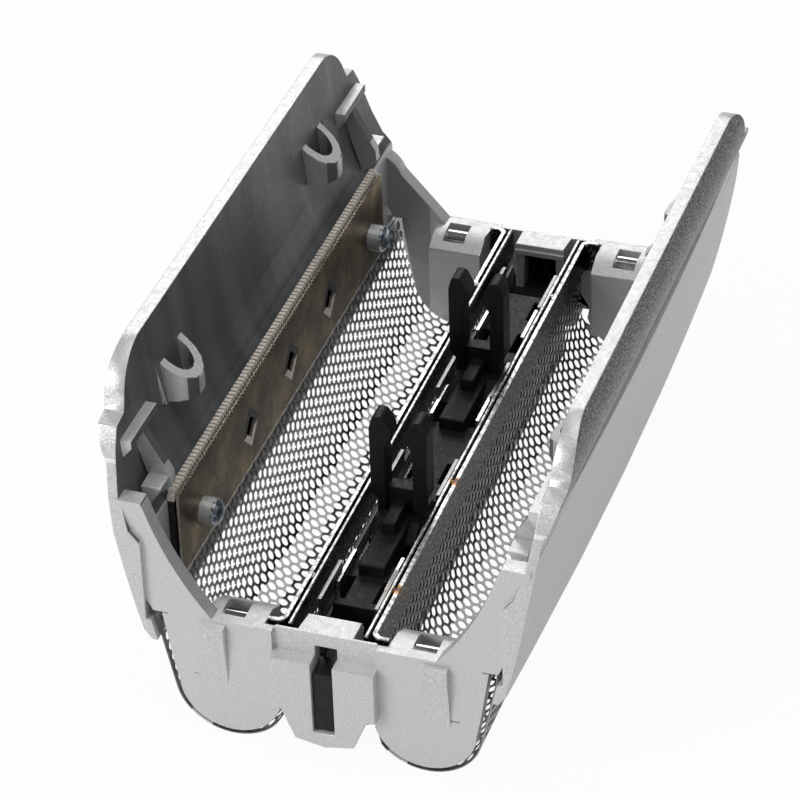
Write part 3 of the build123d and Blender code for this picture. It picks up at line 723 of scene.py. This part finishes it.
def build_foil(side, finish):
    section = foil_section()
    if side < 0:
        section = [(-x, z) for x, z in section]
    length = sum(math.dist(a, b) for a, b in zip(section, section[1:]))
    pitch, hole, hole_sides, thickness = 0.69 * mm, 0.55 * mm, 12, 0.07 * mm
    short_length, free_length = 39.9 * mm, 0.95 * mm
    curve = section_curve(section, "foil_section")
    open_cell = cell_mesh(pitch, hole, hole_sides)
    plain_cell = cell_mesh(pitch, 0, 0)
    values = {
        "Pitch": pitch, "Length": short_length, "Section": length, "Rows": int(length / pitch) + 2,
        "Columns": int((short_length + 2 * free_length) / (pitch * math.sqrt(3) / 2)) + 2, "Plain top": 0.9 * mm,
        "Plain ends": 0.15 * mm, "Free from": 5.4 * mm, "Free run": 1.2 * mm, "Free length": free_length,
        "Open cell": open_cell, "Plain cell": plain_cell, "Material": finish}
    mesh = perforated_sheet_tree().apply(curve, values)
    for helper in (curve, open_cell, plain_cell):
        bpy.data.objects.remove(helper)
    name = "fine_foil_right" if side > 0 else "fine_foil_left"
    foil = placed(name, mesh)
    shape = bmesh.new()
    shape.from_mesh(mesh)
    bmesh.ops.dissolve_degenerate(shape, edges=shape.edges, dist=1e-6)
    shape.normal_update()
    for face in shape.faces:
        middle = face.calc_center_median()
        if face.normal.dot(middle - Vector((side * trough_x, middle.y, trough_z))) < 0:
            face.normal_flip()
    shape.to_mesh(mesh)
    shape.free()
    sheet = foil.modifiers.new("sheet", "SOLIDIFY")
    sheet.thickness = thickness
    sheet.offset = 1
    applied(foil)
    shade_by_angle(foil.data, 50)
    return foil


nickel_finish = nickel()
for side, label in ((-1, "left"), (1, "right")):
    dress(build_foil(side, nickel_finish), nickel_finish, "head", "foil_" + label)


# Edge strips: a thin strip, blued to bronze in welding, on the inside of each long wall, and a thicker clamp strip
# behind. The foil's edge is pinched between the two over the moulded pegs. Both have finely cut upper edges; on the
# bronze these get a painted highlight, and the clamp strip's face below its edge is painted dark as shade.
def row_tree():
    make = TreeMaker("row of copies along the head", [
        ("Count", "NodeSocketInt"), ("Pitch", "NodeSocketFloat"), ("Shape", "NodeSocketObject"),
        ("Material", "NodeSocketMaterial")])
    given = make.given.outputs
    line = make.node("GeometryNodeMeshLine")
    make.join(given["Count"], line.inputs["Count"])
    make.join(make.vector(0.0, given["Pitch"], 0.0), line.inputs["Offset"])
    half = make.sum("DIVIDE", make.sum("SUBTRACT", given["Count"], 1.0), -2.0)
    make.join(make.vector(0.0, make.sum("MULTIPLY", half, given["Pitch"]), 0.0), line.inputs["Start Location"])
    make.finish_with(make.copies(line.outputs["Mesh"], given["Shape"]))
    return make


def row_of(shape_piece, count, pitch, finish):
    """Copies of a piece set along Y, as one mesh."""
    holder = new_piece("row", bmesh.new())
    mesh = row_tree().apply(holder, {"Count": count, "Pitch": pitch, "Shape": shape_piece, "Material": finish})
    bpy.data.objects.remove(holder)
    bpy.data.objects.remove(shape_piece)
    return mesh


def prism_along_y(points, length):
    """Solid with an X-Z outline, centred on Y."""
    return skinned([[(x, y, z) for x, z in points] for y in (-length / 2, length / 2)])


def finely_cut_strip(name, root_drop, pitch, finish):
    """The CAD strip with its upper edge taken down to the root and a row of fine teeth set on it."""
    low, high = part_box(name)
    root = high[2] - root_drop
    shape = whole_mesh(name)
    for vert in shape.verts:
        if vert.co.z > root:
            vert.co.z = root
    bmesh.ops.remove_doubles(shape, verts=shape.verts, dist=2e-6)
    bmesh.ops.dissolve_degenerate(shape, edges=shape.edges, dist=2e-6)
    chamfer, tooth_share = 0.03 * mm, 0.62
    left, right, tip = low[0], high[0], high[2]
    outline = [(left, root - chamfer), (right, root - chamfer), (right, tip - chamfer),
               (right - chamfer, tip), (left + chamfer, tip), (left, tip - chamfer)]
    tooth = prism_along_y(outline, pitch * tooth_share)
    count = int((high[1] - low[1]) / pitch)
    shape.from_mesh(row_of(new_piece("tooth", tooth), count, pitch, finish))
    return new_piece("fine_" + name, shape)


def bronze():
    """Clouded bronze with a painted highlight on its cut edges, and at each window a ring of painted shade with a
    painted highlight on its lower lip.
    """
    window_middle, window_pitch, window_height = 0.5 * mm, 6.75 * mm, rim + 2.1 * mm
    lip_reach, last_window, lower_edge = 1.36 * mm, 8.5 * mm, 7.45 * mm
    material, tree, shader = new_material("bronze_strip")
    tone = shades(tree, speckle(tree, 450, 4.0), [
        (0.30, (0.045, 0.030, 0.015, 1)), (0.5, (0.13, 0.092, 0.045, 1)), (0.72, (0.33, 0.25, 0.125, 1))])
    facing = facing_axes(tree)
    # Painted highlight on faces that do not face across, and on the strip's lower edge.
    edge = arithmetic(tree, "LESS_THAN", arithmetic(tree, "ABSOLUTE", facing["X"]), 0.6)
    spot = axes_of(tree, object_place(tree))
    edge = arithmetic(tree, "MAXIMUM", edge, arithmetic(tree, "LESS_THAN", spot["Z"], lower_edge))
    from_middle = arithmetic(tree, "SUBTRACT", spot["Y"], window_middle)
    along = arithmetic(tree, "ADD", from_middle, window_pitch / 2)
    along = arithmetic(tree, "FLOORED_MODULO", along, window_pitch)
    along = arithmetic(tree, "ABSOLUTE", arithmetic(tree, "SUBTRACT", along, window_pitch / 2))
    height = arithmetic(tree, "SUBTRACT", spot["Z"], window_height)
    away = arithmetic(tree, "ADD", along, arithmetic(tree, "ABSOLUTE", height))
    has_window = arithmetic(tree, "LESS_THAN", arithmetic(tree, "ABSOLUTE", from_middle), last_window)
    lip = arithmetic(tree, "MULTIPLY", arithmetic(tree, "LESS_THAN", away, lip_reach), has_window)
    lower_lip = arithmetic(tree, "MULTIPLY", lip, arithmetic(tree, "LESS_THAN", height, -0.25 * mm))
    edge = arithmetic(tree, "MAXIMUM", edge, lower_lip)
    # Painted highlight for the edges and lower lips; painted shade for the ring round each window.
    bright = grey_shades(tree, speckle(tree, 4000), 0.10, (0.3, 0.60), (0.7, 0.90))
    shade = grey_shades(tree, speckle(tree, 4000), 0, (0.3, 0.01), (0.7, 0.02))
    link(tree, blended(tree, edge, blended(tree, lip, tone, shade), bright), shader.inputs["Base Color"])
    shader.inputs["Metallic"].default_value = 1.0
    uneven_roughness(tree, shader, 6000, 0.26, 0.44)
    bump(tree, shader, speckle(tree, 5000), 0.12, 0.02 * mm)
    return material


def clamp_steel():
    """Bright at the cut edge; the face below lies in shade behind the strip and its windows."""
    material, tree, shader = new_material("strip_steel")
    cut = grey_shades(tree, speckle(tree, 2600, 3.0), 0.08, (0.3, 0.78), (0.7, 0.95))
    shade = grey_shades(tree, speckle(tree, 2600, 3.0), 0, (0.3, 0.010), (0.7, 0.022))
    below = arithmetic(tree, "LESS_THAN", axes_of(tree, object_place(tree))["Z"], 12.4 * mm)
    link(tree, blended(tree, below, cut, shade), shader.inputs["Base Color"])
    shader.inputs["Metallic"].default_value = 0.25
    uneven_roughness(tree, shader, 7000, 0.30, 0.45)
    return material


bronze_finish = bronze()
strip_steel = clamp_steel()
tooth_pitch = 0.36 * mm
for label in ("left", "right"):
    for kind, tooth_height, finish, slot in (("foil_strip_", 0.12 * mm, bronze_finish, "bronze_strip"),
                                             ("clamp_strip_", 0.3 * mm, strip_steel, "steel")):
        strip = finely_cut_strip(kind + label, tooth_height, tooth_pitch, finish)
        dress(strip, finish, "head", kind + label)


# Rails: spring-steel strips folded over the inner edge of each foil and spot-welded to it, the outer one turned outward
# at its ends. The foil's leg lies against them; their upright sides get painted shade with painted glints, and two
# welds have left a brown tint.
def welded_rail_steel():
    """Steel on top; upright sides in painted shade with painted glints; tinted where two welds have heated it."""
    side_top, tint_reach, wander = rim + 0.16 * mm, 0.70 * mm, 0.5 * mm
    material, tree, shader = new_material("rail_steel")
    steel = grey_shades(tree, speckle(tree, 2600, 3.0), 0.02, (0.38, 0.20), (0.50, 0.44), (0.66, 0.66))
    # Painted shade with painted glints, for the upright sides below the top.
    side_shade_and_glints = shades(tree, speckle(tree, 5200, 3.0, 0.75), [
        (0.42, grey(0.006, 0.1)), (0.52, grey(0.035, 0.12)), (0.60, grey(0.16, 0.12)), (0.68, grey(0.65, 0.05))])
    place = object_place(tree)
    spot = axes_of(tree, place)
    facing = facing_axes(tree)
    upright = arithmetic(tree, "LESS_THAN", facing["Z"], 0.35)
    low = arithmetic(tree, "LESS_THAN", spot["Z"], side_top)
    colour = blended(tree, arithmetic(tree, "MULTIPLY", upright, low), steel, side_shade_and_glints)
    for y in (-5.64 * mm, -15.9 * mm):
        gap = add(tree, "ShaderNodeVectorMath", operation="DISTANCE")
        link(tree, place, gap.inputs[0])
        gap.inputs[1].default_value = (2.55 * mm, y, rim + 0.2 * mm)
        ragged = arithmetic(tree, "MULTIPLY_ADD", speckle(tree, 2500, 3.0), wander, gap.outputs["Value"])
        reach = arithmetic(tree, "DIVIDE", ragged, tint_reach)
        tint = shades(tree, reach, [
            (0.40, (0.05, 0.05, 0.13, 1)), (0.6, (0.12, 0.06, 0.03, 1)), (0.85, (0.30, 0.18, 0.08, 1))])
        colour = blended(tree, arithmetic(tree, "LESS_THAN", reach, 0.92), colour, tint)
    link(tree, colour, shader.inputs["Base Color"])
    shader.inputs["Metallic"].default_value = 1.0
    uneven_roughness(tree, shader, 7000, 0.22, 0.38)
    return material


def weld_nub(name, x, y):
    """A flattened bead that bridges the two strips on top."""
    shape = bmesh.new()
    bmesh.ops.create_icosphere(shape, subdivisions=2, radius=1.0)
    flat = Matrix.Diagonal((0.17 * mm, 0.26 * mm, 0.10 * mm, 1))
    bmesh.ops.transform(shape, matrix=Matrix.Translation((x, y, rim + 0.17 * mm)) @ flat, verts=shape.verts)
    return smooth_piece(name, shape)


rail_steel = welded_rail_steel()
for label, side in (("left", -1), ("right", 1)):
    dress(softened_copy("guide_rail_" + label, 0.08 * mm, 3), rail_steel, "head", "guide_rail_" + label)
    dress(softened_copy("foil_rail_" + label, 0.03 * mm), rail_steel, "head", "foil_rail_" + label)
    for number, y in enumerate((13.9, -5.64, -15.9)):
        dress(weld_nub("weld_%s_%d" % (label, number + 1), side * 2.36 * mm, y * mm), rail_steel, "head")


# Cross pins: short pieces of drawn steel wire, chamfered at both ends, pressed across the four corner pockets.
def drawn_pin(name):
    low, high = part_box(name)
    y, z = (low[1] + high[1]) / 2, (low[2] + high[2]) / 2
    radius = (high[2] - low[2]) / 2
    chamfer, end_share = 0.12 * mm, 0.8
    rings = []
    for x, share in ((low[0], end_share), (low[0] + chamfer, 1), (high[0] - chamfer, 1), (high[0], end_share)):
        rings.append([(x, y + radius * share * math.cos(turn), z + radius * share * math.sin(turn))
                      for turn in round_turns(32)])
    piece = new_piece("drawn_" + name, skinned(rings))
    shade_by_angle(piece.data, 30)
    return piece


def drawn_steel():
    material, tree, shader = new_material("drawn_steel")
    tone = grey_shades(tree, speckle(tree, 300, stretch=(0.2, 1, 1)), 0.02, (0.3, 0.50), (0.7, 0.62))
    link(tree, tone, shader.inputs["Base Color"])
    shader.inputs["Metallic"].default_value = 1.0
    uneven_roughness(tree, shader, 900, 0.12, 0.20)
    return material


pin_steel = drawn_steel()
for end in ("front", "rear"):
    for label in ("left", "right"):
        name = "cross_pin_%s_%s" % (end, label)
        dress(drawn_pin(name), pin_steel, "head", name)


# Trimmer: a slotted comb of dark ground steel with a slotted blade inside it, both floating between the foils.
# The cross slots are sawn as fine as the real ones, through the closed side of each channel.
def bright_steel(name, tone, low, high):
    material, tree, shader = new_material(name)
    colour = grey_shades(tree, speckle(tree, 2600, 3.0), 0.02, (0.3, tone * 0.82), (0.7, tone))
    link(tree, colour, shader.inputs["Base Color"])
    shader.inputs["Metallic"].default_value = 1.0
    uneven_roughness(tree, shader, 7000, low, high)
    return material


def sawn_channel(name, finish, sheet, root_rise, pitch, slot):
    """Upper sides of the CAD channel, with a row of U-shaped teeth below them."""
    low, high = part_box(name)
    half = high[0]
    root = low[2] + root_rise
    lap = root + 0.03 * mm
    shape = whole_mesh(name)
    cut = bmesh.ops.bisect_plane(shape, geom=shape.verts[:] + shape.edges[:] + shape.faces[:], dist=1e-7,
                                 plane_co=(0, 0, root + 0.02 * mm), plane_no=(0, 0, 1), clear_inner=True)
    rim_edges = [item for item in cut["geom_cut"] if isinstance(item, bmesh.types.BMEdge)]
    bmesh.ops.holes_fill(shape, edges=rim_edges, sides=0)
    corner = 0.45 * mm
    outer, inner = [(-half, lap)], [(-half + sheet, lap)]
    for centre_x, start in ((-half + corner, 180), (half - corner, 270)):
        for step in range(5):
            turn = math.radians(start + 22.5 * step)
            for line, radius in ((outer, corner), (inner, corner - sheet)):
                line.append((centre_x + radius * math.cos(turn), low[2] + corner + radius * math.sin(turn)))
    outer.append((half, lap))
    inner.append((half - sheet, lap))
    tooth = prism_along_y(outer + inner[::-1], pitch - slot)
    count = int((high[1] - low[1] + slot) / pitch)
    shape.from_mesh(row_of(new_piece("tooth", tooth), count, (high[1] - low[1] + slot) / count, finish))
    return new_piece("sawn_" + name, shape)


comb_steel = bright_steel("comb_steel", 0.30, 0.28, 0.42)
blade_steel = bright_steel("blade_steel", 0.78, 0.18, 0.34)
comb = sawn_channel("trimmer_comb", comb_steel, sheet=0.2 * mm, root_rise=1.5 * mm, pitch=1.0 * mm, slot=0.45 * mm)
dress(comb, comb_steel, "trimmer_unit", "trimmer_comb")
blade = sawn_channel("trimmer_blade", blade_steel, sheet=0.18 * mm, root_rise=1.5 * mm, pitch=1.3 * mm, slot=0.5 * mm)
dress(blade, blade_steel, "blade_unit", "trimmer_blade")


# Carrier and guides: matt black plastic. The carrier holds the blade and has two forks for the motor's driving pins.
# The guides at both ends hold the comb in the frame's slots, each under a small leaf spring of blackened steel.
def black_plastic():
    material, tree, shader = new_material("black_plastic")
    tone = grey_shades(tree, speckle(tree, 1800, 3.0), -0.02, (0.3, 0.004), (0.7, 0.011))
    link(tree, tone, shader.inputs["Base Color"])
    shader.inputs["Specular IOR Level"].default_value = 0.32
    uneven_roughness(tree, shader, 5000, 0.42, 0.62)
    bump(tree, shader, speckle(tree, 7000), 0.12, 0.02 * mm)
    return material


def paint_node(name, material):
    for slot in nodes[name].material_slots:
        slot.material = material


def rounded_prongs(shape):
    """The tips of the forks, fuller and rounder than straight cuts would leave them."""
    tip = max(vert.co.z for vert in shape.verts)
    prong_middle, widening = 1.15 * mm, 0.12
    for vert in shape.verts:
        if vert.co.z > tip - 0.05 * mm:
            outwards = widening if abs(vert.co.x) > prong_middle else -widening
            vert.co.x += outwards * mm * (1 if vert.co.x > 0 else -1)
    lowest = tip - 1.6 * mm
    round_off(shape, 0.2 * mm, 3, lambda edge: min(vert.co.z for vert in edge.verts) > lowest
              and abs(edge.verts[0].co.y - edge.verts[1].co.y) > 0.8 * mm)


def raised_block(low, high):
    """Block between two corners, for the raised parts of the carrier; its edges are rounded later."""
    side_face = ((low[1], low[2]), (high[1], low[2]), (high[1], high[2]), (low[1], high[2]))
    return skinned([[(x, y, z) for y, z in side_face] for x in (low[0], high[0])])


black_finish = black_plastic()
spring_steel = bright_steel("spring_steel", 0.16, 0.30, 0.45)
carrier = whole_mesh("blade_carrier")
rounded_prongs(carrier)
carrier_top = rim - 1.5 * mm
for fork_y in (-7.5 * mm, 6.9 * mm):
    spine = raised_block((-0.80 * mm, fork_y - 5.6 * mm, carrier_top - 0.3 * mm),
                         (0.80 * mm, fork_y - 0.9 * mm, carrier_top + 0.75 * mm))
    neck = raised_block((-0.42 * mm, fork_y - 2.6 * mm, carrier_top),
                        (0.42 * mm, fork_y - 0.2 * mm, carrier_top + 1.55 * mm))
    for extra in (spine, neck):
        round_off(extra, 0.12 * mm, 3)
        joined = bpy.data.meshes.new("carrier part")
        extra.to_mesh(joined)
        carrier.from_mesh(joined)
        extra.free()
dress(softened("blade_carrier", carrier, 0.06 * mm), black_finish, "blade_unit", "blade_carrier")
for end in ("front", "rear"):
    guide = "end_guide_" + end
    dress(softened_copy(guide, 0.05 * mm), black_finish, "trimmer_unit", guide)
    paint_node("float_spring_" + end, spring_steel)


# Floor and light: a plain white table, soft lamps behind, above and in front of the head, and a dim even world.
def white_table():
    material, tree, shader = new_material("white_table")
    shader.inputs["Base Color"].default_value = (0.75, 0.75, 0.75, 1)
    shader.inputs["Roughness"].default_value = 0.9
    out = tree.nodes["Material Output"]
    glow = add(tree, "ShaderNodeEmission")
    glow.inputs["Color"].default_value = (1, 1, 1, 1)
    glow.inputs["Strength"].default_value = 1.0
    path = add(tree, "ShaderNodeLightPath")
    seen = arithmetic(tree, "ADD", path.outputs["Is Camera Ray"], path.outputs["Is Transmission Ray"])
    seen = arithmetic(tree, "MULTIPLY_ADD", path.outputs["Is Glossy Ray"], 0.5, seen)
    seen = arithmetic(tree, "MULTIPLY", arithmetic(tree, "MINIMUM", seen, 1.0), 0.95)
    mix = add(tree, "ShaderNodeMixShader")
    link(tree, seen, mix.inputs[0])
    link(tree, shader.outputs[0], mix.inputs[1])
    link(tree, glow.outputs[0], mix.inputs[2])
    link(tree, mix.outputs[0], out.inputs["Surface"])
    return material


table_reach, table_height = 3, -0.02 * mm
table_corners = [(x * table_reach, y * table_reach, table_height) for x, y in ((-1, -1), (1, -1), (1, 1), (-1, 1))]
table_mesh = bpy.data.meshes.new("table")
table_mesh.from_pydata(table_corners, [], [(0, 1, 2, 3)])
table = placed("table", table_mesh)
table_mesh.materials.append(white_table())


def soft_lamp(name, place, aim, size, energy):
    data = bpy.data.lights.new(name, "AREA")
    data.shape = "RECTANGLE"
    data.size, data.size_y = size
    data.energy = energy
    lamp = placed(name, data)
    lamp.location = place
    direction = Vector(aim) - Vector(place)
    lamp.rotation_euler = direction.to_track_quat("-Z", "Y").to_euler()


soft_lamp("lamp_back", (-0.12, 0.30, 0.24), (0, 0, 0), (0.20, 0.18), 0.42)
soft_lamp("lamp_above", (0.07, -0.02, 0.36), (0, 0, 0), (0.26, 0.26), 0.42)
soft_lamp("lamp_front", (-0.26, -0.29, 0.20), (0, 0, 0.005), (0.22, 0.16), 1.03)

world = bpy.data.worlds.new("world")
bpy.context.scene.world = world
world.use_nodes = True
sky = world.node_tree.nodes["Background"]
sky.inputs["Color"].default_value = (1, 1, 1, 1)
seen_directly = add(world.node_tree, "ShaderNodeLightPath")
level = arithmetic(world.node_tree, "MULTIPLY_ADD", seen_directly.outputs["Is Camera Ray"], 0.72, 0.28)
level = arithmetic(world.node_tree, "MULTIPLY_ADD", seen_directly.outputs["Is Glossy Ray"], -0.16, level)
link(world.node_tree, level, sky.inputs["Strength"])

bpy.context.view_layer.update()
